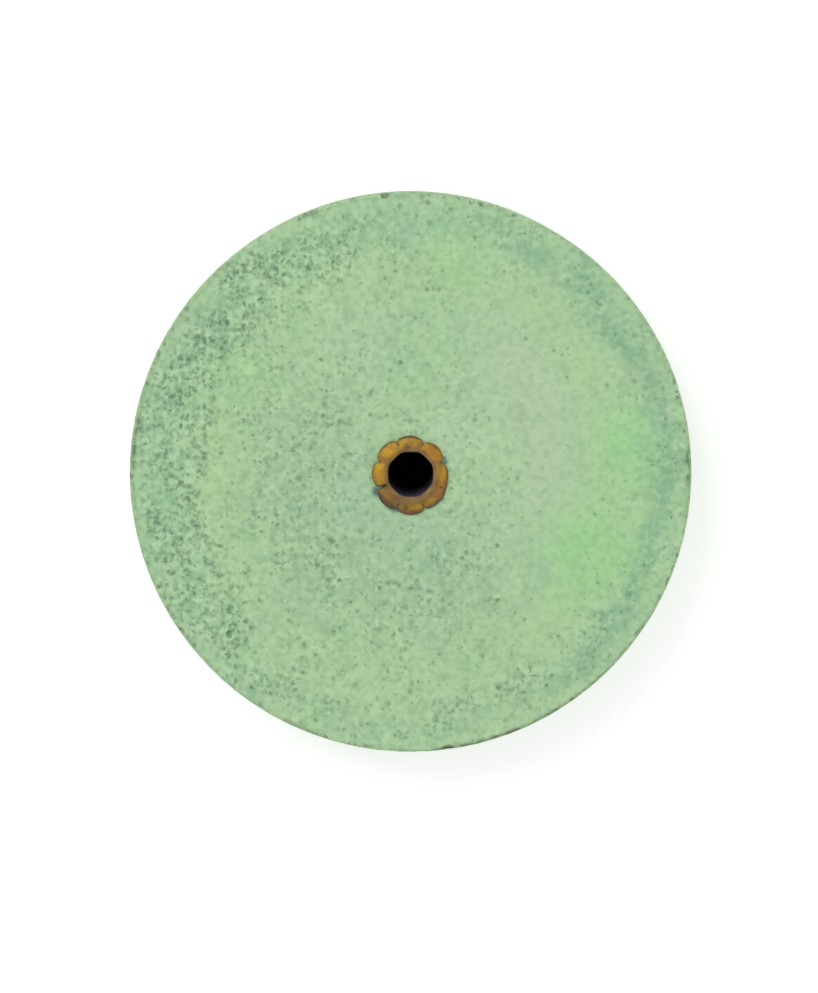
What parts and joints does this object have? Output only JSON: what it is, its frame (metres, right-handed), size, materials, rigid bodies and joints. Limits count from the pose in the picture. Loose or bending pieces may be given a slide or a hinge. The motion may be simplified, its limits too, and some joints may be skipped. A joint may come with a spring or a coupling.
{
  "type": "silicon carbide grinding wheel",
  "caption": "Small flat abrasive wheel of bonded silicon carbide grit, with a brass eyelet clinched in its arbor hole by a ring of petals.",
  "frame": {"origin": "centre of the arbor bore, in the plane of the eyelet's flange that the wheel lies on", "axes": "+Z along the wheel's axis, from the flange side towards the side with the petals; +X towards the middle of a petal"},
  "size_m": [0.019, 0.019, 0.0036],
  "materials": {
    "silicon_carbide": "matt, open-pored vitrified grit, pale green with darker grains and pores",
    "eyelet_brass": "dull tumbled brass, tarnished brown in the splits"
  },
  "bodies": {
    "root": {"abrasive_wheel": "silicon_carbide", "arbor_eyelet": "eyelet_brass"}
  },
  "joints": []
}
